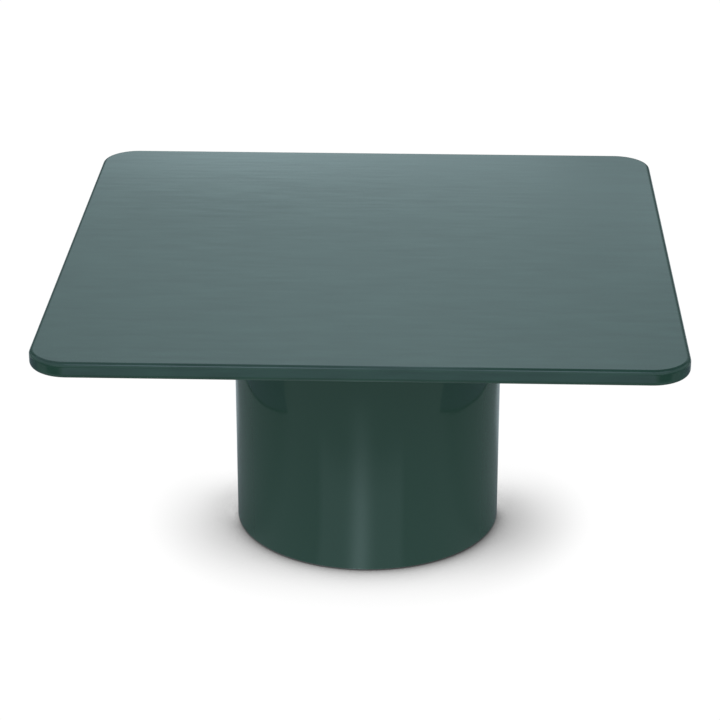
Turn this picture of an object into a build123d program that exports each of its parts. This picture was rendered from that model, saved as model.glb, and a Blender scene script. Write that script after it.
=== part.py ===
from build123d import *

import os
from math import cos, radians, sin

# Square pedestal coffee table: one lacquered square top with rounded corners,
# bolted to a round lacquered drum.
#
# Frame: millimetres, +Z up, origin on the floor under the centre of the table.
# The table's sides are parallel to X and Y, and -Y is the front.
#
# Stack from the floor: four levelling feet, the drum's bottom bulkhead with its
# ballast ring, the ribs and the middle bulkhead, the top bulkhead, a thin felt
# gasket and the tabletop, which six bolts pull down on to the drum.

os.makedirs("parts", exist_ok=True)

# ---------------------------------------------------------------- dimensions
TOP_SIDE = 914.0  # side of the square top
TOP_T = 23.0  # thickness of the top
TOP_CORNER_R = 57.0  # plan radius of the four corners
TOP_EDGE_R = 6.5  # round-over on the upper and the lower edge

TOTAL_H = 446.0  # floor to the upper surface
RIM_GAP = 2.0  # floor to the drum's lower edge, feet screwed home
GASKET_T = 1.0  # felt between drum and top

DRUM_R = 206.0  # outer radius of the drum
SHELL_T = 12.0  # bent laminated wall
RIM_EASE = 1.2  # eased lower edge of the wall
BOARD_T = 18.0  # plywood of the bulkheads and ribs
GLUE = 0.1  # glue line between wall and bulkheads
RECESS = 12.0  # bottom bulkhead above the drum's lower edge

BOLT_PCD_R = 150.0  # six bolts between drum and top
N_BOLTS = 6
RIB_R_IN, RIB_R_OUT = 163.0, 193.0  # ribs, measured from the drum's axis
RIB_W = 18.0
N_RIBS = 6
RIB_START = 30.0  # degrees, so that ribs stand between the bolts
RIB_SCREW_R = 178.0
DOWEL_R = 110.0  # two locating dowels, from the axis

ACCESS_R = 80.0  # hand hole in the bottom bulkhead
HAND_R = 60.0  # hole in the top bulkhead
MID_HOLE_R = 110.0
COVER_R = 96.0
COVER_T = 4.0
COVER_SCREW_R = 88.0

BALLAST_R_OUT, BALLAST_T = 156.0, 40.0
BALLAST_BOLT_R = 120.0

FOOT_R = 176.0  # levelling feet, from the drum's axis
FOOT_START = 45.0
FOOT_TRAVEL = 10.0  # how far a foot screws out
THREAD_R = 4.0  # M8 nominal

# ------------------------------------------------------------ derived levels
Z_TOP_UNDER = TOTAL_H - TOP_T
Z_DRUM_TOP = Z_TOP_UNDER - GASKET_T
Z_TOPBH = Z_DRUM_TOP - BOARD_T
Z_BOTBH = RIM_GAP + RECESS
Z_BOTBH_TOP = Z_BOTBH + BOARD_T
Z_MIDBH = (Z_BOTBH_TOP + Z_TOPBH) / 2 - BOARD_T / 2
BH_R = DRUM_R - SHELL_T - GLUE

# ------------------------------------------------------------------- the top
INSERT_L = 16.0
INSERT_R = 6.0
INSERT_FLANGE_R, INSERT_FLANGE_T = 8.0, 1.5

with BuildPart() as tabletop:
    with BuildSketch(Plane.XY.offset(Z_TOP_UNDER)):
        RectangleRounded(TOP_SIDE, TOP_SIDE, TOP_CORNER_R)
    extrude(amount=TOP_T)
    fillet(
        tabletop.faces().filter_by(Axis.Z).sort_by(Axis.Z)[-1].edges(), TOP_EDGE_R
    )
    fillet(tabletop.faces().filter_by(Axis.Z).sort_by(Axis.Z)[0].edges(), TOP_EDGE_R)
    # blind holes for the threaded inserts, with a seat for each flange
    with BuildSketch(Plane.XY.offset(Z_TOP_UNDER)):
        with PolarLocations(BOLT_PCD_R, N_BOLTS):
            Circle(INSERT_R + 0.05)
    extrude(amount=INSERT_L + 0.2, mode=Mode.SUBTRACT)
    with BuildSketch(Plane.XY.offset(Z_TOP_UNDER)):
        with PolarLocations(BOLT_PCD_R, N_BOLTS):
            Circle(INSERT_FLANGE_R + 0.1)
    extrude(amount=INSERT_FLANGE_T + 0.1, mode=Mode.SUBTRACT)
    # dowel sockets
    with BuildSketch(Plane.XY.offset(Z_TOP_UNDER)):
        with PolarLocations(DOWEL_R, 2, 90):
            Circle(4.05)
    extrude(amount=13.0, mode=Mode.SUBTRACT)
tabletop.part.label = "tabletop"

# Threaded inserts: barbed zinc bushes, flush with the underside.
with BuildPart() as insert_one:
    with BuildSketch(Plane.XZ):
        with BuildLine():
            Polyline(
                (THREAD_R + 0.05, Z_TOP_UNDER),
                (INSERT_FLANGE_R, Z_TOP_UNDER),
                (INSERT_FLANGE_R, Z_TOP_UNDER + INSERT_FLANGE_T),
                (INSERT_R - 0.8, Z_TOP_UNDER + INSERT_FLANGE_T),
                (INSERT_R - 0.8, Z_TOP_UNDER + 3.5),
                (INSERT_R, Z_TOP_UNDER + 3.7),
                (INSERT_R - 0.8, Z_TOP_UNDER + 6.5),
                (INSERT_R, Z_TOP_UNDER + 6.7),
                (INSERT_R - 0.8, Z_TOP_UNDER + 9.5),
                (INSERT_R, Z_TOP_UNDER + 9.7),
                (INSERT_R - 0.8, Z_TOP_UNDER + 12.5),
                (INSERT_R, Z_TOP_UNDER + 12.7),
                (INSERT_R - 1.0, Z_TOP_UNDER + INSERT_L),
                (THREAD_R + 0.05, Z_TOP_UNDER + INSERT_L),
                close=True,
            )
        make_face()
    revolve(axis=Axis.Z)

with BuildPart() as tabletop_inserts:
    with PolarLocations(BOLT_PCD_R, N_BOLTS):
        add(insert_one.part)
tabletop_inserts.part.label = "tabletop_inserts"

# Felt gasket that keeps the two lacquered faces from sticking together.
with BuildPart() as felt_gasket:
    with BuildSketch(Plane.XY.offset(Z_DRUM_TOP)):
        Circle(DRUM_R - 3.0)
        Circle(HAND_R, mode=Mode.SUBTRACT)
        with PolarLocations(BOLT_PCD_R, N_BOLTS):
            Circle(5.5, mode=Mode.SUBTRACT)
        with PolarLocations(DOWEL_R, 2, 90):
            Circle(5.0, mode=Mode.SUBTRACT)
    extrude(amount=GASKET_T)
felt_gasket.part.label = "felt_gasket"

# ------------------------------------------------------------------ the drum
with BuildPart() as drum_shell:
    with BuildSketch(Plane.XY.offset(RIM_GAP)):
        Circle(DRUM_R)
        Circle(DRUM_R - SHELL_T, mode=Mode.SUBTRACT)
    extrude(amount=Z_DRUM_TOP - RIM_GAP)
    rim_edges = (
        drum_shell.faces().filter_by(Axis.Z).sort_by(Axis.Z)[0].edges()
        + drum_shell.faces().filter_by(Axis.Z).sort_by(Axis.Z)[-1].edges().sort_by(
            SortBy.RADIUS
        )[-1:]
    )
    fillet(rim_edges, RIM_EASE)
drum_shell.part.label = "drum_shell"

with BuildPart() as top_bulkhead:
    with BuildSketch(Plane.XY.offset(Z_TOPBH)):
        Circle(BH_R)
        Circle(HAND_R, mode=Mode.SUBTRACT)
        with PolarLocations(BOLT_PCD_R, N_BOLTS):
            Circle(4.5, mode=Mode.SUBTRACT)
        with PolarLocations(DOWEL_R, 2, 90):
            Circle(4.05, mode=Mode.SUBTRACT)
    extrude(amount=BOARD_T)
    # countersunk clearance holes for the rib screws, heads up
    with Locations(Plane.XY.offset(Z_DRUM_TOP)):
        with PolarLocations(RIB_SCREW_R, N_RIBS, RIB_START):
            CounterSinkHole(2.3, 4.6, depth=BOARD_T, counter_sink_angle=90)
top_bulkhead.part.label = "top_bulkhead"

with BuildPart() as middle_bulkhead:
    with BuildSketch(Plane.XY.offset(Z_MIDBH)):
        Circle(BH_R)
        Circle(MID_HOLE_R, mode=Mode.SUBTRACT)
        # notches that the ribs pass through, open to the wall
        with PolarLocations((RIB_R_IN + 200.0) / 2 - 0.1, N_RIBS, RIB_START):
            Rectangle(200.0 - RIB_R_IN + 0.2, RIB_W + 0.3, mode=Mode.SUBTRACT)
    extrude(amount=BOARD_T)
middle_bulkhead.part.label = "middle_bulkhead"

with BuildPart() as bottom_bulkhead:
    with BuildSketch(Plane.XY.offset(Z_BOTBH)):
        Circle(BH_R)
        Circle(ACCESS_R, mode=Mode.SUBTRACT)
        with PolarLocations(FOOT_R, 4, FOOT_START):
            Circle(6.05, mode=Mode.SUBTRACT)
        with PolarLocations(BALLAST_BOLT_R, 4):
            Circle(4.25, mode=Mode.SUBTRACT)
    extrude(amount=BOARD_T)
    # pilot holes for the cover's screws
    with BuildSketch(Plane.XY.offset(Z_BOTBH)):
        with PolarLocations(COVER_SCREW_R, 6, 30):
            Circle(1.8)
    extrude(amount=13.0, mode=Mode.SUBTRACT)
    # countersunk clearance holes for the rib screws, heads down
    with Locations(Plane.XY.offset(Z_BOTBH).rotated((180, 0, 0))):
        with PolarLocations(RIB_SCREW_R, N_RIBS, -RIB_START):
            CounterSinkHole(2.3, 4.6, depth=BOARD_T, counter_sink_angle=90)
bottom_bulkhead.part.label = "bottom_bulkhead"

# Six upright ribs from the bottom to the top bulkhead, through the middle one.
ribs = []
for k in range(N_RIBS):
    angle = RIB_START + 360.0 / N_RIBS * k
    r_mid = (RIB_R_IN + RIB_R_OUT) / 2
    with BuildPart() as rib:
        with BuildSketch(Plane.XY.offset(Z_BOTBH_TOP)):
            with Locations(
                Location(
                    (r_mid * cos(radians(angle)), r_mid * sin(radians(angle)), 0),
                    (0, 0, angle),
                )
            ):
                Rectangle(RIB_R_OUT - RIB_R_IN, RIB_W)
        extrude(amount=Z_TOPBH - Z_BOTBH_TOP)
        # pilot holes up from the lower end and down from the upper end
        for z in (Z_BOTBH_TOP, Z_TOPBH - 34.0):
            with BuildSketch(Plane.XY.offset(z)):
                with Locations(
                    (
                        RIB_SCREW_R * cos(radians(angle)),
                        RIB_SCREW_R * sin(radians(angle)),
                    )
                ):
                    Circle(2.1)
            extrude(amount=34.0, mode=Mode.SUBTRACT)
    rib.part.label = f"rib_{k + 1}"
    ribs.append(rib.part)


def wood_screw(z_face, up, shank_r=2.0, head_r=4.2, length=45.0, core=0.3):
    """Countersunk wood screw on the Z axis, its head flush at z_face and its
    point upwards (up=1) or downwards (up=-1), with a cross recess."""
    s = up
    with BuildPart() as screw:
        with BuildSketch(Plane.XZ):
            with BuildLine():
                Polyline(
                    (0, z_face + s * 0.2),
                    (head_r, z_face + s * 0.2),
                    (shank_r, z_face + s * (0.2 + head_r - shank_r)),
                    (shank_r, z_face + s * (length - 6.0)),
                    (core, z_face + s * length),
                    (0, z_face + s * length),
                    close=True,
                )
            make_face()
        revolve(axis=Axis.Z)
        with BuildSketch(Plane.XY.offset(z_face + s * 0.2)):
            Rectangle(head_r * 1.1, 0.9)
            Rectangle(0.9, head_r * 1.1)
        extrude(amount=s * 1.7, mode=Mode.SUBTRACT)
    return screw.part


rib_screw_top = wood_screw(Z_DRUM_TOP, -1, length=50.0)
rib_screw_bottom = wood_screw(Z_BOTBH, 1, length=50.0)

with BuildPart() as rib_screws_top:
    with PolarLocations(RIB_SCREW_R, N_RIBS, RIB_START):
        add(rib_screw_top)
rib_screws_top.part.label = "rib_screws_top"

with BuildPart() as rib_screws_bottom:
    with PolarLocations(RIB_SCREW_R, N_RIBS, RIB_START):
        add(rib_screw_bottom)
rib_screws_bottom.part.label = "rib_screws_bottom"

# ------------------------------------------------ bolts between drum and top
WASHER_T, SPRING_T, HEAD_T = 2.0, 2.0, 5.0
Z_HEAD_TOP = Z_TOPBH - WASHER_T - SPRING_T

with BuildPart() as top_bolts:
    with BuildSketch(Plane.XY.offset(Z_HEAD_TOP - HEAD_T)):
        with PolarLocations(BOLT_PCD_R, N_BOLTS):
            Circle(7.0)
    extrude(amount=HEAD_T)
    chamfer(
        top_bolts.faces().filter_by(Axis.Z).group_by(Axis.Z)[0].edges(),
        1.2,
    )
    with BuildSketch(Plane.XY.offset(Z_HEAD_TOP)):
        with PolarLocations(BOLT_PCD_R, N_BOLTS):
            Circle(THREAD_R - 0.03)
    extrude(amount=36.0)
    with BuildSketch(Plane.XY.offset(Z_HEAD_TOP - HEAD_T)):
        with PolarLocations(BOLT_PCD_R, N_BOLTS):
            RegularPolygon(2.5, 6, major_radius=False)
    extrude(amount=3.0, mode=Mode.SUBTRACT)
top_bolts.part.label = "top_bolts"

with BuildPart() as top_bolt_washers:
    with BuildSketch(Plane.XY.offset(Z_TOPBH - WASHER_T)):
        with PolarLocations(BOLT_PCD_R, N_BOLTS):
            Circle(12.0)
        with PolarLocations(BOLT_PCD_R, N_BOLTS):
            Circle(4.2, mode=Mode.SUBTRACT)
    extrude(amount=WASHER_T)
top_bolt_washers.part.label = "top_bolt_washers"

# Split spring washers, cut through on one side.
with BuildPart() as top_bolt_spring_washers:
    with BuildSketch(Plane.XY.offset(Z_HEAD_TOP)):
        with PolarLocations(BOLT_PCD_R, N_BOLTS):
            Circle(6.4)
        with PolarLocations(BOLT_PCD_R, N_BOLTS):
            Circle(4.15, mode=Mode.SUBTRACT)
        with PolarLocations(BOLT_PCD_R + 5.5, N_BOLTS):
            Rectangle(6.0, 1.0, mode=Mode.SUBTRACT)
    extrude(amount=SPRING_T)
top_bolt_spring_washers.part.label = "top_bolt_spring_washers"

with BuildPart() as locating_dowels:
    with BuildSketch(Plane.XY.offset(Z_TOPBH + 1.0)):
        with PolarLocations(DOWEL_R, 2, 90):
            Circle(4.0)
    extrude(amount=30.0 - 1.5)
    chamfer(
        locating_dowels.faces().filter_by(Axis.Z).edges(),
        0.8,
    )
locating_dowels.part.label = "locating_dowels"

# ------------------------------------------------------------------- ballast
with BuildPart() as ballast_ring:
    with BuildSketch(Plane.XY.offset(Z_BOTBH_TOP)):
        Circle(BALLAST_R_OUT)
        Circle(ACCESS_R, mode=Mode.SUBTRACT)
        with PolarLocations(BALLAST_BOLT_R, 4):
            Circle(4.5, mode=Mode.SUBTRACT)
    extrude(amount=BALLAST_T)
    chamfer(
        ballast_ring.faces()
        .filter_by(Axis.Z)
        .sort_by(Axis.Z)[-1]
        .edges()
        .sort_by(SortBy.RADIUS)[-1:],
        2.0,
    )
ballast_ring.part.label = "ballast_ring"

PLAIN_T = 1.6
Z_BALLAST_TOP = Z_BOTBH_TOP + BALLAST_T

with BuildPart() as ballast_bolts:
    with BuildSketch(Plane.XY.offset(Z_BOTBH - PLAIN_T - 5.3)):
        with PolarLocations(BALLAST_BOLT_R, 4):
            RegularPolygon(6.5, 6, major_radius=False)
    extrude(amount=5.3)
    with BuildSketch(Plane.XY.offset(Z_BOTBH - PLAIN_T)):
        with PolarLocations(BALLAST_BOLT_R, 4):
            Circle(THREAD_R - 0.03)
    extrude(amount=Z_BALLAST_TOP - Z_BOTBH + 2 * PLAIN_T + 10.0)
ballast_bolts.part.label = "ballast_bolts"

with BuildPart() as ballast_washers:
    for z in (Z_BOTBH - PLAIN_T, Z_BALLAST_TOP):
        with BuildSketch(Plane.XY.offset(z)):
            with PolarLocations(BALLAST_BOLT_R, 4):
                Circle(8.0)
            with PolarLocations(BALLAST_BOLT_R, 4):
                Circle(4.2, mode=Mode.SUBTRACT)
        extrude(amount=PLAIN_T)
ballast_washers.part.label = "ballast_washers"

with BuildPart() as ballast_nuts:
    with BuildSketch(Plane.XY.offset(Z_BALLAST_TOP + PLAIN_T)):
        with PolarLocations(BALLAST_BOLT_R, 4):
            RegularPolygon(6.5, 6, major_radius=False)
        with PolarLocations(BALLAST_BOLT_R, 4):
            Circle(THREAD_R + 0.02, mode=Mode.SUBTRACT)
    extrude(amount=6.5)
    # the nylon collar of a locking nut
    with BuildSketch(Plane.XY.offset(Z_BALLAST_TOP + PLAIN_T + 6.5)):
        with PolarLocations(BALLAST_BOLT_R, 4):
            Circle(6.0)
        with PolarLocations(BALLAST_BOLT_R, 4):
            Circle(THREAD_R + 0.02, mode=Mode.SUBTRACT)
    extrude(amount=1.5)
ballast_nuts.part.label = "ballast_nuts"

# -------------------------------------------------------------- access cover
with BuildPart() as access_cover:
    with BuildSketch(Plane.XY.offset(Z_BOTBH - COVER_T)):
        Circle(COVER_R)
    extrude(amount=COVER_T)
    chamfer(
        access_cover.faces().filter_by(Axis.Z).sort_by(Axis.Z)[0].edges(), 0.8
    )
    with Locations(Plane.XY.offset(Z_BOTBH - COVER_T).rotated((180, 0, 0))):
        with PolarLocations(COVER_SCREW_R, 6, 30):
            CounterSinkHole(1.9, 3.9, depth=COVER_T, counter_sink_angle=90)
access_cover.part.label = "access_cover"

cover_screw = wood_screw(
    Z_BOTBH - COVER_T, 1, shank_r=1.7, head_r=3.5, length=15.5
)

with BuildPart() as access_cover_screws:
    with PolarLocations(COVER_SCREW_R, 6, 30):
        add(cover_screw)
access_cover_screws.part.label = "access_cover_screws"

# ------------------------------------------------------------ levelling feet
FLANGE_T = 1.5
Z_FLANGE = Z_BOTBH - FLANGE_T
PAD_H = 6.5

# Threaded bushes in the bottom bulkhead; each flange bears on its underside.
with BuildPart() as foot_inserts:
    with BuildSketch(Plane.XY.offset(Z_FLANGE)):
        with PolarLocations(FOOT_R, 4, FOOT_START):
            Circle(10.0)
        with PolarLocations(FOOT_R, 4, FOOT_START):
            Circle(THREAD_R + 0.05, mode=Mode.SUBTRACT)
    extrude(amount=FLANGE_T)
    with BuildSketch(Plane.XY.offset(Z_BOTBH)):
        with PolarLocations(FOOT_R, 4, FOOT_START):
            Circle(6.0)
        with PolarLocations(FOOT_R, 4, FOOT_START):
            Circle(THREAD_R + 0.05, mode=Mode.SUBTRACT)
    extrude(amount=15.0)
foot_inserts.part.label = "foot_inserts"

feet = []
for k in range(4):
    a = radians(FOOT_START + 90.0 * k)
    at = (FOOT_R * cos(a), FOOT_R * sin(a))
    # nylon pad with a snap-in socket for the stud's button
    with BuildPart() as foot_pad:
        with BuildSketch(Plane.XZ):
            with BuildLine():
                Polyline(
                    (0, 0),
                    (14.0, 0),
                    (15.0, 1.0),
                    (15.0, 3.5),
                    (10.0, PAD_H),
                    (3.28, PAD_H),
                    (3.28, 5.3),
                    (5.08, 5.3),
                    (5.08, 1.9),
                    (0, 1.9),
                    close=True,
                )
            make_face()
        revolve(axis=Axis.Z)
    pad = foot_pad.part.moved(Location((at[0], at[1], 0)))
    pad.label = f"foot_pad_{k + 1}"
    feet.append(pad)
    # stud: button in the pad, neck, hexagon for a spanner, M8 shank
    with BuildPart() as foot_stud:
        with BuildSketch(Plane.XY.offset(2.0)):
            Circle(5.0)
        extrude(amount=3.2)
        with BuildSketch(Plane.XY.offset(5.2)):
            Circle(3.2)
        extrude(amount=2.0)
        with BuildSketch(Plane.XY.offset(7.0)):
            RegularPolygon(6.5, 6, major_radius=False)
        extrude(amount=5.4)
        with BuildSketch(Plane.XY.offset(12.4)):
            Circle(THREAD_R)
        extrude(amount=32.0)
        chamfer(
            foot_stud.faces().filter_by(Axis.Z).sort_by(Axis.Z)[-1].edges(), 0.8
        )
    stud = foot_stud.part.moved(Location((at[0], at[1], 0)))
    stud.label = f"foot_stud_{k + 1}"
    feet.append(stud)

# -------------------------------------------------------------------- export
pieces = [
    tabletop.part,
    tabletop_inserts.part,
    felt_gasket.part,
    drum_shell.part,
    top_bulkhead.part,
    middle_bulkhead.part,
    bottom_bulkhead.part,
    *ribs,
    rib_screws_top.part,
    rib_screws_bottom.part,
    top_bolts.part,
    top_bolt_washers.part,
    top_bolt_spring_washers.part,
    locating_dowels.part,
    ballast_ring.part,
    ballast_bolts.part,
    ballast_washers.part,
    ballast_nuts.part,
    access_cover.part,
    access_cover_screws.part,
    foot_inserts.part,
    *feet,
]
for piece in pieces:
    export_step(piece, f"parts/{piece.label}.step")
    print(piece.label, len(piece.solids()), round(piece.volume))
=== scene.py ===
"""Visual model of the square pedestal coffee table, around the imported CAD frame."""

import math

import bpy
from mathutils import Matrix, Vector


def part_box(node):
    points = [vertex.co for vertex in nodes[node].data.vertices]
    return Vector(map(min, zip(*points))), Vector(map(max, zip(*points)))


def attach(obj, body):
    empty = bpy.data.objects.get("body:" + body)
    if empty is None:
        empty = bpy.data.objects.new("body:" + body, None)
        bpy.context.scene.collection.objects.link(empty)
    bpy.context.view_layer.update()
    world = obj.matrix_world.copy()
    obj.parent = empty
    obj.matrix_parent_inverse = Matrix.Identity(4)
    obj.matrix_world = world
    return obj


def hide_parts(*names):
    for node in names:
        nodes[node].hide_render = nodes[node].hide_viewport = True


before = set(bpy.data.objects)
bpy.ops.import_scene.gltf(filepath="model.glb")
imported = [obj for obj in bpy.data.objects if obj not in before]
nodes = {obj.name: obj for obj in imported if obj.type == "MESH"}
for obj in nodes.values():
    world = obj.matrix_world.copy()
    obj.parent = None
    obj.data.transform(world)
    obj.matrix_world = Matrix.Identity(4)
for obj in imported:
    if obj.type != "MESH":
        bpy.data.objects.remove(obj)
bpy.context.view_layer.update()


# ------------------------------------------------------------------- camera
def make_camera():
    """The photograph's viewing angle: 23 degrees down, 2 degrees round."""
    az, el = 0.0343, 0.4075
    dist, across, above = 3.991, -0.01207, 0.2370
    back = Vector(
        (math.sin(az) * math.cos(el), -math.cos(az) * math.cos(el), math.sin(el))
    )
    right = Vector((math.cos(az), math.sin(az), 0))
    up = back.cross(right)
    at = back * dist + right * across + up * above + Vector((0, 0, 0.002))
    data = bpy.data.cameras.new("camera")
    data.sensor_width = 36.0
    data.lens = 125.02
    data.clip_start, data.clip_end = 0.05, 200.0
    cam = bpy.data.objects.new("camera", data)
    bpy.context.scene.collection.objects.link(cam)
    m = Matrix((right, up, back)).transposed().to_4x4()
    m.translation = at
    cam.matrix_world = m
    bpy.context.scene.camera = cam


make_camera()


# -------------------------------------------------------------- node helpers
class Num:
    """A number made by Math nodes, so that sums in a node tree read as sums."""

    def __init__(self, nt, value):
        self.nt, self.value = nt, value

    def op(self, name, *others):
        node = self.nt.nodes.new("ShaderNodeMath")
        node.operation = name
        for i, v in enumerate((self, *others)):
            v = v.value if isinstance(v, Num) else v
            if isinstance(v, (int, float)):
                node.inputs[i].default_value = v
            else:
                self.nt.links.new(v, node.inputs[i])
        return Num(self.nt, node.outputs[0])

    def __add__(self, o):
        return self.op("ADD", o)

    __radd__ = __add__

    def __mul__(self, o):
        return self.op("MULTIPLY", o)

    __rmul__ = __mul__

    def __sub__(self, o):
        return self.op("SUBTRACT", o)

    def __rsub__(self, o):
        return Num(self.nt, o).op("SUBTRACT", self)

    def __truediv__(self, o):
        return self.op("DIVIDE", o)

    def bell(self, centre, width):
        """exp(-((x - centre) / width)^2)"""
        d = (self - centre) / width
        return (d * d * -1.0).op("EXPONENT")

    def step(self, low, high):
        """0 below low, 1 above high, smooth between."""
        node = self.nt.nodes.new("ShaderNodeMapRange")
        node.interpolation_type = "SMOOTHSTEP"
        self.nt.links.new(self.value, node.inputs["Value"])
        node.inputs["From Min"].default_value = low
        node.inputs["From Max"].default_value = high
        return Num(self.nt, node.outputs["Result"])


def xyz(nt, vector):
    node = nt.nodes.new("ShaderNodeSeparateXYZ")
    nt.links.new(vector, node.inputs[0])
    return [Num(nt, node.outputs[i]) for i in range(3)]


def new_material(name):
    m = bpy.data.materials.new(name)
    m.use_nodes = True
    nt = m.node_tree
    nt.nodes.clear()
    out = nt.nodes.new("ShaderNodeOutputMaterial")
    return m, nt, out


def surface(name, rough=0.5, metal=0.0, ior=1.5, level=0.5):
    """A Principled material. Returns it, its tree, its shader and its object
    coordinates, which are metres in the frame."""
    m, nt, out = new_material(name)
    p = nt.nodes.new("ShaderNodeBsdfPrincipled")
    p.inputs["Roughness"].default_value = rough
    p.inputs["Metallic"].default_value = metal
    p.inputs["IOR"].default_value = ior
    p.inputs["Specular IOR Level"].default_value = level
    nt.links.new(p.outputs[0], out.inputs["Surface"])
    tc = nt.nodes.new("ShaderNodeTexCoord")
    return m, nt, p, tc.outputs["Object"]


def stretched(nt, coords, scale):
    node = nt.nodes.new("ShaderNodeMapping")
    node.vector_type = "POINT"
    node.inputs["Scale"].default_value = scale
    nt.links.new(coords, node.inputs["Vector"])
    return node.outputs[0]


def noise(nt, coords, scale, detail=2.0, rough=0.5, distort=0.0):
    """Noise in 0..1 with about `scale` features a metre; scale may be a triple."""
    if isinstance(scale, tuple):
        coords, scale = stretched(nt, coords, scale), 1.0
    node = nt.nodes.new("ShaderNodeTexNoise")
    node.inputs["Scale"].default_value = scale
    node.inputs["Detail"].default_value = detail
    node.inputs["Roughness"].default_value = rough
    node.inputs["Distortion"].default_value = distort
    nt.links.new(coords, node.inputs["Vector"])
    return Num(nt, node.outputs["Fac"])


def ramp(nt, fac, stops, mode="LINEAR"):
    """Colours along a number. stops are (position, (r, g, b))."""
    node = nt.nodes.new("ShaderNodeValToRGB")
    node.color_ramp.interpolation = mode
    els = node.color_ramp.elements
    while len(els) < len(stops):
        els.new(0.5)
    for e, (at, c) in zip(els, stops):
        e.position = at
        e.color = (*c, 1.0)
    nt.links.new(fac.value, node.inputs[0])
    return node.outputs["Color"]


def bump(nt, height, distance, onto=None):
    node = nt.nodes.new("ShaderNodeBump")
    node.inputs["Strength"].default_value = 1.0
    node.inputs["Distance"].default_value = distance
    nt.links.new(height.value, node.inputs["Height"])
    if onto is not None:
        nt.links.new(onto, node.inputs["Normal"])
    return node.outputs[0]


def paint(obj, material):
    obj.data.materials.clear()
    obj.data.materials.append(material)


# ----------------------------------------------------------------- materials
LACQUER = (0.0238, 0.0610, 0.0448)


def shade(c, k):
    return tuple(v * k for v in c)


def lacquer(name, streaks):
    """High-gloss green lacquer. The flat-sanded top keeps very fine marks along
    X; the rolled drum has only a faint orange peel."""
    m, nt, p, co = surface(name, rough=0.07)
    broad = noise(nt, co, 3.0, 2.0)
    if streaks:
        hair = noise(nt, co, (24.0, 260.0, 260.0), 2.0, 0.5) - 0.5
        fine = noise(nt, co, (13.0, 86.0, 86.0), 1.5, 0.5) - 0.5
        wide = noise(nt, co, (3.5, 30.0, 30.0), 1.0, 0.5) - 0.5
        fac = fine * 1.3 + hair * 0.5 + wide * 0.25 + 0.5
        # the marks lie on the face; the underside is sprayed, not polished
        normal = nt.nodes.new("ShaderNodeNewGeometry")
        nz = xyz(nt, normal.outputs["Normal"])[2]
        face = nz.step(0.5, 0.97) * 0.9 + 0.1
        matt = 1.0 - nz.step(-0.55, -0.1)
        p_rough = hair * 0.04 + fine * 0.04 + matt * 0.3 + 0.085
        nt.links.new(p_rough.value, p.inputs["Roughness"])
        n = bump(nt, hair * face, 0.000008)
        n = bump(nt, fine * face, 0.00002, n)
        n = bump(nt, wide * face, 0.00003, n)
        gloss = 0.5 - matt * 0.3 + (fine * 0.125 + hair * 0.06) * face
        nt.links.new(gloss.value, p.inputs["Specular IOR Level"])
        spread = 0.20
    else:
        peel = noise(nt, co, 420.0, 2.0)
        wave = noise(nt, co, 14.0, 1.0)
        fac = (broad - 0.5) * 0.9 + (peel - 0.5) * 0.3 + 0.5
        p_rough = broad * 0.02 + 0.035
        nt.links.new(p_rough.value, p.inputs["Roughness"])
        n = bump(nt, peel, 0.000006)
        n = bump(nt, wave, 0.0004, n)
        spread = 0.10
    nt.links.new(n, p.inputs["Normal"])
    col = ramp(
        nt,
        fac,
        [(0.0, shade(LACQUER, 1 - spread)), (1.0, shade(LACQUER, 1 + spread))],
    )
    nt.links.new(col, p.inputs["Base Color"])
    return m


def plywood():
    """Birch plywood, sealed: long soft grain on the faces, plies at the edges."""
    m, nt, p, co = surface("plywood_sealed", rough=0.55)
    x, y, z = xyz(nt, co)
    grain = noise(nt, co, (18.0, 190.0, 190.0), 6.0, 0.6, 0.3)
    fleck = noise(nt, co, (60.0, 900.0, 900.0), 3.0, 0.6)
    face = ramp(
        nt,
        grain * 0.75 + fleck * 0.25,
        [
            (0.25, (0.40, 0.27, 0.15)),
            (0.5, (0.58, 0.43, 0.27)),
            (0.75, (0.68, 0.53, 0.36)),
        ],
    )
    ply = (z * (1.0 / 0.0014)).op("FRACT")
    dark = ply.step(0.42, 0.5) - ply.step(0.92, 1.0)
    normal = nt.nodes.new("ShaderNodeNewGeometry")
    nz = xyz(nt, normal.outputs["Normal"])[2].op("ABSOLUTE")
    edge = (1.0 - nz.step(0.3, 0.8)) * dark
    mix = nt.nodes.new("ShaderNodeMix")
    mix.data_type = "RGBA"
    nt.links.new((edge * 0.75).value, mix.inputs["Factor"])
    nt.links.new(face, mix.inputs[6])
    mix.inputs[7].default_value = (0.27, 0.16, 0.08, 1)
    nt.links.new(mix.outputs[2], p.inputs["Base Color"])
    nt.links.new((fleck * 0.2 + 0.45).value, p.inputs["Roughness"])
    nt.links.new(bump(nt, fleck, 0.00012), p.inputs["Normal"])
    return m


def beech():
    m, nt, p, co = surface("beech_dowel", rough=0.6)
    grain = noise(nt, co, (700.0, 700.0, 40.0), 4.0, 0.6)
    col = ramp(
        nt, grain, [(0.3, (0.42, 0.26, 0.15)), (0.7, (0.62, 0.42, 0.27))]
    )
    nt.links.new(col, p.inputs["Base Color"])
    nt.links.new(bump(nt, grain, 0.0001), p.inputs["Normal"])
    return m


def hardboard():
    """Black painted hardboard: one smooth face with faint roller stipple."""
    m, nt, p, co = surface("hardboard_black", rough=0.6)
    stipple = noise(nt, co, 700.0, 3.0, 0.6)
    cloud = noise(nt, co, 22.0, 3.0)
    col = ramp(
        nt,
        stipple * 0.4 + cloud * 0.6,
        [(0.3, (0.012, 0.012, 0.012)), (0.7, (0.026, 0.026, 0.025))],
    )
    nt.links.new(col, p.inputs["Base Color"])
    nt.links.new((cloud * 0.2 + 0.48).value, p.inputs["Roughness"])
    nt.links.new(bump(nt, stipple, 0.00008), p.inputs["Normal"])
    return m


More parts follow.
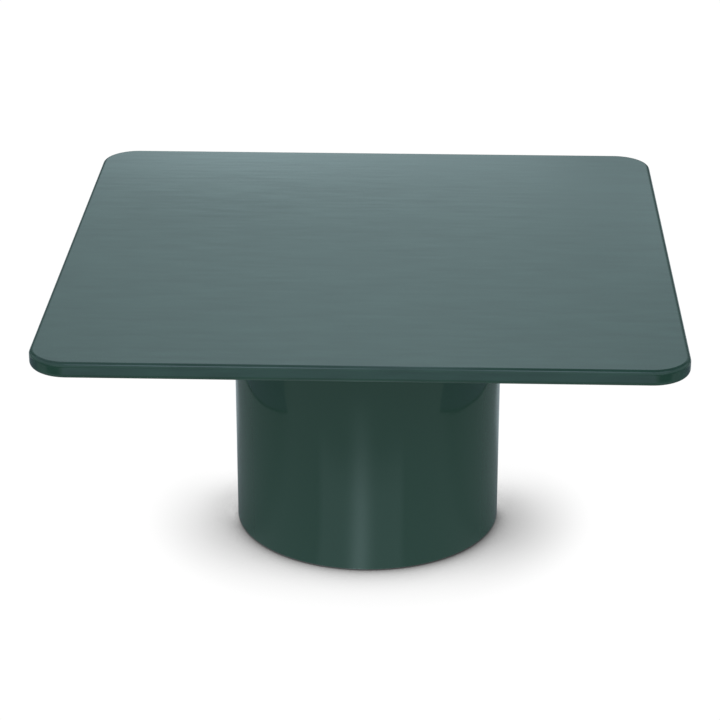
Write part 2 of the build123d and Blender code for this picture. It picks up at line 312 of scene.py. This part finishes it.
def steel(name, colour, rough, metal=1.0, turned=900.0):
    """Plated steel hardware: fine turning marks round Z, and cloudy plating."""
    m, nt, p, co = surface(name, rough=rough, metal=metal)
    marks = noise(nt, co, (80.0, 80.0, turned), 2.0)
    cloud = noise(nt, co, 160.0, 3.0, 0.6)
    col = ramp(
        nt,
        cloud * 0.7 + marks * 0.3,
        [(0.3, shade(colour, 0.8)), (0.7, shade(colour, 1.08))],
    )
    nt.links.new(col, p.inputs["Base Color"])
    nt.links.new((cloud * 0.22 + (rough - 0.1)).value, p.inputs["Roughness"])
    nt.links.new(bump(nt, marks, 0.00003), p.inputs["Normal"])
    return m


def iron():
    """Ballast casting: sand-cast skin under thin black paint."""
    m, nt, p, co = surface("ballast_casting", rough=0.7)
    skin = noise(nt, co, 520.0, 4.0, 0.7)
    cloud = noise(nt, co, 18.0, 3.0)
    col = ramp(
        nt,
        cloud * 0.6 + skin * 0.4,
        [(0.3, (0.03, 0.03, 0.031)), (0.7, (0.075, 0.073, 0.07))],
    )
    nt.links.new(col, p.inputs["Base Color"])
    nt.links.new((skin * 0.3 + 0.5).value, p.inputs["Roughness"])
    nt.links.new(bump(nt, skin, 0.0005), p.inputs["Normal"])
    return m


def felt():
    m, nt, p, co = surface("felt_black", rough=0.95, level=0.2)
    fibre = noise(nt, co, (900.0, 900.0, 300.0), 5.0, 0.75, 0.8)
    col = ramp(
        nt, fibre, [(0.3, (0.008, 0.009, 0.009)), (0.7, (0.032, 0.034, 0.034))]
    )
    nt.links.new(col, p.inputs["Base Color"])
    nt.links.new(bump(nt, fibre, 0.0004), p.inputs["Normal"])
    return m


def nylon():
    """Moulded black nylon with a fine spark-eroded texture."""
    m, nt, p, co = surface("nylon_black", rough=0.5)
    spark = noise(nt, co, 1600.0, 2.0, 0.6)
    cloud = noise(nt, co, 60.0, 2.0)
    col = ramp(
        nt, cloud, [(0.3, (0.016, 0.016, 0.017)), (0.7, (0.03, 0.03, 0.031))]
    )
    nt.links.new(col, p.inputs["Base Color"])
    nt.links.new((spark * 0.15 + 0.42).value, p.inputs["Roughness"])
    nt.links.new(bump(nt, spark, 0.00006), p.inputs["Normal"])
    return m


# ------------------------------------------------------------ swept surfaces
def circle_ring(radius, count=320):
    """inset -> points and outward normals of a circle."""

    def ring(inset):
        out = []
        for i in range(count):
            a = 2 * math.pi * i / count
            c, s = math.cos(a), math.sin(a)
            out.append(((radius - inset) * c, (radius - inset) * s, c, s))
        return out

    return ring


def square_ring(side, corner, arc=24, run=14):
    """inset -> points and outward normals of a square with rounded corners."""

    def ring(inset):
        h, r = side / 2 - corner, corner - inset
        out = []
        for q, (sx, sy) in enumerate(((1, 1), (-1, 1), (-1, -1), (1, -1))):
            for i in range(arc + 1):
                a = math.pi / 2 * (q + i / arc)
                c, s = math.cos(a), math.sin(a)
                out.append((sx * h + r * c, sy * h + r * s, c, s))
            # points along the straight side after this corner
            a = math.pi / 2 * (q + 1)
            c, s = math.cos(a), math.sin(a)
            nx, ny = ((-1, 1), (-1, -1), (1, -1), (1, 1))[q]
            x0, y0 = sx * h + r * c, sy * h + r * s
            x1, y1 = nx * h + r * c, ny * h + r * s
            for i in range(1, run):
                t = i / run
                out.append((x0 + (x1 - x0) * t, y0 + (y1 - y0) * t, c, s))
        return out

    return ring


def round_over(inset0, z0, r, start, steps):
    """Profile points of a quarter round: start is the angle of the first
    normal, in degrees from +Z outwards, and it turns through 90."""
    pts = []
    for i in range(steps + 1):
        a = math.radians(start + 90.0 * i / steps)
        n = (math.sin(a), math.cos(a))
        pts.append((inset0 - r * n[0], z0 + r * n[1], n, n))
    return pts


def sweep(name, ring, profile, cap_first=False, cap_last=False, closed=False):
    """A mesh from profile points (inset, z, normal before, normal after) run
    round a ring, with exact normals. Normals are (outwards, up)."""
    verts, faces, normals = [], [], []
    count = len(ring(0.0))
    around = ring(0.0)
    for inset, z, _, _ in profile:
        verts += [(x, y, z) for x, y, _, _ in ring(inset)]
    pairs = list(zip(range(len(profile) - 1), range(1, len(profile))))
    if closed:
        pairs.append((len(profile) - 1, 0))

    def normal(k, n):
        _, _, c, s = around[k]
        return (c * n[0], s * n[0], n[1])

    for a, b in pairs:
        for i in range(count):
            j = (i + 1) % count
            faces.append(
                (a * count + i, b * count + i, b * count + j, a * count + j)
            )
            na, nb = profile[a][3], profile[b][2]
            normals += [normal(i, na), normal(i, nb), normal(j, nb), normal(j, na)]
    if cap_first:
        faces.append(tuple(range(count)))
        normals += [(0, 0, profile[0][2][1])] * count
    if cap_last:
        base = (len(profile) - 1) * count
        faces.append(tuple(base + i for i in reversed(range(count))))
        normals += [(0, 0, profile[-1][3][1])] * count
    mesh = bpy.data.meshes.new(name)
    mesh.from_pydata(verts, [], faces)
    mesh.validate()
    mesh.update()
    for f in mesh.polygons:
        f.use_smooth = True
    mesh.normals_split_custom_set(normals)
    obj = bpy.data.objects.new(name, mesh)
    bpy.context.scene.collection.objects.link(obj)
    return obj


# -------------------------------------------------------------- the tabletop
lo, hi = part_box("tabletop")
SIDE = hi.x - lo.x
EDGE_R = 0.0065
CORNER_R = 0.057
UP, OUT, DOWN = (0.0, 1.0), (1.0, 0.0), (0.0, -1.0)

top_profile = [
    (0.0500, hi.z, UP, UP),
    (0.0250, hi.z, UP, UP),
    (0.0120, hi.z, UP, UP),
    *round_over(EDGE_R, hi.z - EDGE_R, EDGE_R, 0.0, 14),
    *round_over(EDGE_R, lo.z + EDGE_R, EDGE_R, 90.0, 14),
    (0.0120, lo.z, DOWN, DOWN),
    (0.0500, lo.z, DOWN, DOWN),
]
top = sweep(
    "tabletop_lacquered",
    square_ring(SIDE, CORNER_R),
    top_profile,
    cap_first=True,
    cap_last=True,
)
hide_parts("tabletop")
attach(top, "table")
paint(top, lacquer("lacquer_green_top", True))

# ------------------------------------------------------------------ the drum
lo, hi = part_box("drum_shell")
R = hi.x
WALL = 0.012
EASE = 0.0012
IN = (-1.0, 0.0)

drum_profile = [
    *round_over(EASE, hi.z - EASE, EASE, 0.0, 6),
    *round_over(EASE, lo.z + EASE, EASE, 90.0, 6),
    *round_over(WALL - EASE, lo.z + EASE, EASE, 180.0, 6),
    (WALL, hi.z, IN, UP),
]
drum_profile[0] = (*drum_profile[0][:2], UP, UP)
drum = sweep("drum_lacquered", circle_ring(R), drum_profile, closed=True)
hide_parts("drum_shell")
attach(drum, "table")
paint(drum, lacquer("lacquer_green_drum", False))

# ------------------------------------------- materials of the other CAD nodes
PLY, BEECH, BOARD = plywood(), beech(), hardboard()
ZINC = steel("zinc_steel_plated", (0.62, 0.63, 0.65), 0.36)
BLACK = steel("black_steel_oxide", (0.035, 0.035, 0.037), 0.45, metal=0.6)
IRON, FELT, NYLON = iron(), felt(), nylon()

finishes = {
    "tabletop_inserts": ZINC,
    "felt_gasket": FELT,
    "top_bulkhead": PLY,
    "middle_bulkhead": PLY,
    "bottom_bulkhead": PLY,
    "rib_screws_top": ZINC,
    "rib_screws_bottom": ZINC,
    "top_bolts": BLACK,
    "top_bolt_washers": ZINC,
    "top_bolt_spring_washers": ZINC,
    "locating_dowels": BEECH,
    "ballast_ring": IRON,
    "ballast_bolts": ZINC,
    "ballast_washers": ZINC,
    "ballast_nuts": ZINC,
    "access_cover": BOARD,
    "access_cover_screws": BLACK,
    "foot_inserts": ZINC,
}
for name in nodes:
    if name.startswith("rib_") and name not in finishes:
        finishes[name] = PLY
    elif name.startswith("foot_pad"):
        finishes[name] = NYLON
    elif name.startswith("foot_stud"):
        finishes[name] = ZINC
for name, material in finishes.items():
    paint(nodes[name], material)


# --------------------------------------------------------- studio and lights
COOL = (0.80, 0.95, 1.03)


def white_floor():
    """Plain white floor. It glows white for the camera, with a painted soft contact
    shadow where something stands near it; what it throws on the object is dimmer,
    brightest in a wedge before the drum, with a painted shadow close beside the drum."""
    mesh = bpy.data.meshes.new("studio_floor")
    s = 60.0
    mesh.from_pydata(
        [(-s, -s, 0), (s, -s, 0), (s, s, 0), (-s, s, 0)], [], [(0, 1, 2, 3)]
    )
    floor = bpy.data.objects.new("studio_floor", mesh)
    bpy.context.scene.collection.objects.link(floor)

    m, nt, out = new_material("studio_white")
    geo = nt.nodes.new("ShaderNodeNewGeometry")
    x, y, z = xyz(nt, geo.outputs["Position"])
    ahead = y * -1.0
    reach = (x * x + y * y).op("SQRT")
    gap = reach - 0.206  # from the drum's wall
    bearing = x.op("ARCTAN2", ahead) * (180 / math.pi)  # 0 is the front, 90 +X

    # what the camera sees: a painted contact shadow in the floor's glow, ramped from
    # ambient occlusion
    ao = nt.nodes.new("ShaderNodeAmbientOcclusion")
    ao.samples = 16
    ao.inputs["Distance"].default_value = 0.15
    shadow = ramp(
        nt,
        Num(nt, ao.outputs["AO"]),
        [
            (at, (v,) * 3)
            for at, v in (
                (0.0, 0.03),
                (0.50, 0.15),
                (0.54, 0.305),
                (0.576, 0.392),
                (0.598, 0.485),
                (0.62, 0.59),
                (0.65, 0.688),
                (0.68, 0.762),
                (0.717, 0.82),
                (0.765, 0.882),
                (0.815, 0.938),
                (0.857, 0.965),
                (0.906, 0.985),
                (1.0, 1.02),
            )
        ],
    )
    # painted shadow: the contact shadow is made darker beside the drum's sides and
    # lighter towards the back, by bearing
    sides = bearing.bell(76, 36) * 1.08 + bearing.bell(-68, 34) * 0.72
    toe = (gap * -110.0).op("EXPONENT").op("MINIMUM", 1.0)
    dim = (
        1.0
        - sides * (1.0 - gap.step(0.03, 0.17)) * 0.29
        - bearing.bell(45, 28) * toe * 0.22
        + (bearing - 6.0).op("ABSOLUTE").step(76, 94) * toe
        + bearing.op("ABSOLUTE").step(96, 125) * (gap * -25.0).op("EXPONENT") * 0.5
    )
    seen = nt.nodes.new("ShaderNodeEmission")
    nt.links.new(shadow, seen.inputs["Color"])
    nt.links.new(dim.value, seen.inputs["Strength"])
    # from below, the floor is not there
    clear = nt.nodes.new("ShaderNodeBsdfTransparent")
    shown = nt.nodes.new("ShaderNodeMixShader")
    nt.links.new(geo.outputs["Backfacing"], shown.inputs[0])
    nt.links.new(seen.outputs[0], shown.inputs[1])
    nt.links.new(clear.outputs[0], shown.inputs[2])

    # what the gloss reflects: a white sheet about 1.4 m wide, with a darker
    # studio floor past its long edges and to the sides
    side = x.op("ABSOLUTE")
    toward = ahead / reach
    rim = side + y * y * 0.5 - x * 0.011  # the sheet's edges bow in a little
    beside = (y + x * 0.04).step(-0.38, -0.355)
    off_sheet = rim.step(0.6925, 0.705) * beside * (1.0 - y.step(0.35, 0.5))
    edge = rim.bell(0.6925, 0.006) * beside * (1.0 - y.step(0.35, 0.5))
    behind = (1.0 - toward.step(-0.75, -0.5)) * (1.0 - side.step(0.40, 0.48))
    front_wing = side.step(0.74, 0.92) * (1.0 - y.step(-1.0, -0.8))
    back_strip = (side.step(0.50, 0.56) - side.step(0.66, 0.74)) * y.step(0.4, 0.5)
    back_wing = side.step(0.66, 0.74) * y.step(0.42, 0.55)
    base = (
        (0.27 + toward.step(0.35, 0.6) * 0.09 + behind * 0.20 + back_wing * 0.16)
        * (1.0 - back_strip * 0.65)
        * (1.0 - front_wing * 0.85)
        # painted shadow: the reflected floor is darkened close beside the drum, away
        # from the front
        * (1.0 - (1.0 - toward.step(0.35, 0.7)) * (gap * -14.0).op("EXPONENT") * 0.45)
        * (1.0 - off_sheet * 0.75)
        * (1.0 - edge * 0.9)
        * (1.0 - ahead.bell(1.16, 0.13) * 0.85)
    )
    around = nt.nodes.new("ShaderNodeEmission")
    around.inputs["Color"].default_value = (*COOL, 1)
    nt.links.new(base.value, around.inputs["Strength"])
    # the lit wedge before the drum, and a bluer patch far in front
    u = x / (y * -2.0 - 0.206).op("MAXIMUM", 0.05)
    beam = (
        u.bell(-0.032, 0.075) * (1.0 - ahead.step(0.22, 0.93)) * 0.85
        + u.step(-0.44, -0.34) * (1.0 - u.step(0.27, 0.35))
        * (1.0 - ahead.step(0.42, 0.66)) * 0.21
    ) * ahead.step(0.1, 0.2)
    wedge = nt.nodes.new("ShaderNodeEmission")
    wedge.inputs["Color"].default_value = (0.75, 1.0, 1.04, 1)
    nt.links.new(beam.value, wedge.inputs["Strength"])
    far = ahead.step(1.27, 1.35) * (1.0 - side.step(0.62, 0.74))
    patch = nt.nodes.new("ShaderNodeEmission")
    patch.inputs["Color"].default_value = (0.19, 0.20, 0.34, 1)
    nt.links.new((far + off_sheet * 0.4).value, patch.inputs["Strength"])
    lit = nt.nodes.new("ShaderNodeAddShader")
    nt.links.new(wedge.outputs[0], lit.inputs[0])
    nt.links.new(patch.outputs[0], lit.inputs[1])
    thrown = nt.nodes.new("ShaderNodeAddShader")
    nt.links.new(around.outputs[0], thrown.inputs[0])
    nt.links.new(lit.outputs[0], thrown.inputs[1])
    # diffuse light from the floor
    soft = nt.nodes.new("ShaderNodeEmission")
    soft.inputs["Color"].default_value = (0.93, 1.0, 0.99, 1)
    soft.inputs["Strength"].default_value = 0.90
    path = nt.nodes.new("ShaderNodeLightPath")
    other = nt.nodes.new("ShaderNodeMixShader")
    nt.links.new(path.outputs["Is Glossy Ray"], other.inputs[0])
    nt.links.new(soft.outputs[0], other.inputs[1])
    nt.links.new(thrown.outputs[0], other.inputs[2])
    last = nt.nodes.new("ShaderNodeMixShader")
    nt.links.new(path.outputs["Is Camera Ray"], last.inputs[0])
    nt.links.new(other.outputs[0], last.inputs[1])
    nt.links.new(shown.outputs[0], last.inputs[2])
    nt.links.new(last.outputs[0], out.inputs["Surface"])
    m.cycles.emission_sampling = "NONE"
    mesh.materials.append(m)


def studio_world():
    """White surround for the camera. For the object, a cool studio: a bright
    low panel behind, darkness above it, and dimmer panels in front."""
    world = bpy.data.worlds.new("studio")
    bpy.context.scene.world = world
    world.use_nodes = True
    nt = world.node_tree
    nt.nodes.clear()
    out = nt.nodes.new("ShaderNodeOutputWorld")
    tc = nt.nodes.new("ShaderNodeTexCoord")
    x, y, z = xyz(nt, tc.outputs["Generated"])
    el = z.op("ARCSINE") * (180 / math.pi)
    az = x.op("ARCTAN2", y) * (180 / math.pi)  # 0 is +Y, behind the table
    wall = (
        (
            0.82
            + (1.0 - el.step(18.2, 20.4)) * az.bell(-0.5, 8.5) * 0.30
            + (1.0 - el.step(18.5, 19.1)) * az.bell(-5.0, 3.6) * 0.52
            - el.bell(19.6, 0.45) * az.bell(-5.0, 4.0) * 0.16
            + (1.0 - el.step(20.5, 22.0)) * az.bell(6.0, 1.6) * 0.12
        )
        * (1.0 - az.step(1.5, 4.5) * (1.0 - el.step(18.6, 19.2)) * 0.30)
        * (az.bell(-2.0, 17.5) * 0.92 + 0.08 + az.bell(26.0, 12.0) * 0.2)
        * el.step(8.0, 14.0)
        * (1.0 - el.step(27.0, 34.0))
        * (1.0 - az.op("ABSOLUTE").step(80.0, 100.0))
    )
    bg = nt.nodes.new("ShaderNodeBackground")
    bg.inputs["Color"].default_value = (0.77, 0.99, 1.06, 1)
    width = x.op("ABSOLUTE")
    front = (y * -1.0).step(0.0, 0.15) * (1.0 - width.step(0.60, 0.80))
    low = 1.0 - el.step(26.0, 34.0)
    ends = width.step(0.60, 0.80) * (1.0 - el.step(40.0, 60.0)) * el.step(2.0, 10.0)
    rest = front * low * 0.60 + ends * 0.42 + 0.10
    nt.links.new((wall + rest).value, bg.inputs["Strength"])
    # in front: a dim panel, and above it a bright one with a gap in the middle
    gap = x.bell(-0.010, 0.027)
    panel = (1.0 - el.step(60.0, 66.0)) * el.step(26.0, 34.0) * 0.50
    strip = el.step(42.0, 48.0) * (1.0 - el.step(66.0, 72.0)) * (1.0 - gap) * 1.4
    strip = strip * x.step(-0.165, -0.125) * (1.0 - x.step(0.06, 0.09) * 0.8)
    low_front = front * (1.0 - el.step(60.0, 66.0))
    dusk = (0.30 - x.step(-0.06, 0.03) * 0.26) * el.step(30.0, 36.0)
    fill = (gap * el.step(28.0, 32.0) * 0.55 + dusk) * (1.0 - low_front)
    fg = nt.nodes.new("ShaderNodeBackground")
    fg.inputs["Color"].default_value = (0.84, 1.0, 1.25, 1)
    nt.links.new((front * (panel + strip) + fill).value, fg.inputs["Strength"])
    both = nt.nodes.new("ShaderNodeAddShader")
    nt.links.new(bg.outputs[0], both.inputs[0])
    nt.links.new(fg.outputs[0], both.inputs[1])
    white = nt.nodes.new("ShaderNodeBackground")
    white.inputs["Color"].default_value = (1, 1, 1, 1)
    white.inputs["Strength"].default_value = 1.02
    path = nt.nodes.new("ShaderNodeLightPath")
    mix = nt.nodes.new("ShaderNodeMixShader")
    nt.links.new(path.outputs["Is Camera Ray"], mix.inputs[0])
    nt.links.new(both.outputs[0], mix.inputs[1])
    nt.links.new(white.outputs[0], mix.inputs[2])
    nt.links.new(mix.outputs[0], out.inputs["Surface"])


def softbox(name, at, size, power, aim=(0, 0, 0.3)):
    data = bpy.data.lights.new(name, "AREA")
    data.shape = "SQUARE"
    data.size = size
    data.energy = power
    light = bpy.data.objects.new(name, data)
    bpy.context.scene.collection.objects.link(light)
    light.location = at
    light.rotation_euler = (Vector(aim) - Vector(at)).to_track_quat(
        "-Z", "Y"
    ).to_euler()
    light.visible_glossy = False
    light.visible_camera = False


white_floor()
studio_world()
softbox("softbox_overhead", (0.0, -0.8, 3.2), 2.6, 20.0)

view = bpy.context.scene.view_settings
view.view_transform = "Standard"
view.look = "None"
view.exposure = 0.0
view.gamma = 1.0
